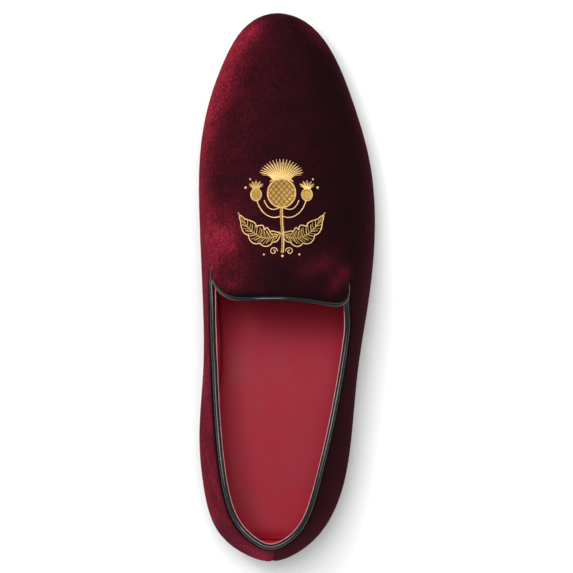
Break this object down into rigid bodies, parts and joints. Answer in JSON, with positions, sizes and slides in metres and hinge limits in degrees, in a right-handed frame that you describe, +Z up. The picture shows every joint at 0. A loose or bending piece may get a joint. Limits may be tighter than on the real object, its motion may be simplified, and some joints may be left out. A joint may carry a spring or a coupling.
{
  "type": "velvet slipper loafer",
  "caption": "Velvet slipper loafer for the right foot: round toe, throat tab with side slits, black leather piping, padded leather insole, thin leather sole and low heel.",
  "frame": {"origin": "on the floor under the middle of the shoe's outline", "axes": "+X to the toe, +Y to the inner side of the foot, +Z up"},
  "size_m": [0.3, 0.0961, 0.0836],
  "materials": {
    "velvet": "burgundy cotton velvet with a short directional nap",
    "sole_leather": "smooth black sole leather, satin edge",
    "heel_leather": "stacked black leather, satin edge",
    "insole_leather": "red lining leather, fine grain, matt",
    "piping_leather": "black leather piping, soft gloss"
  },
  "bodies": {
    "root": {"outsole": "sole_leather", "heel": "heel_leather", "insole": "insole_leather", "upper": "velvet", "collar_piping": "piping_leather", "tab_piping": "piping_leather"}
  },
  "joints": []
}
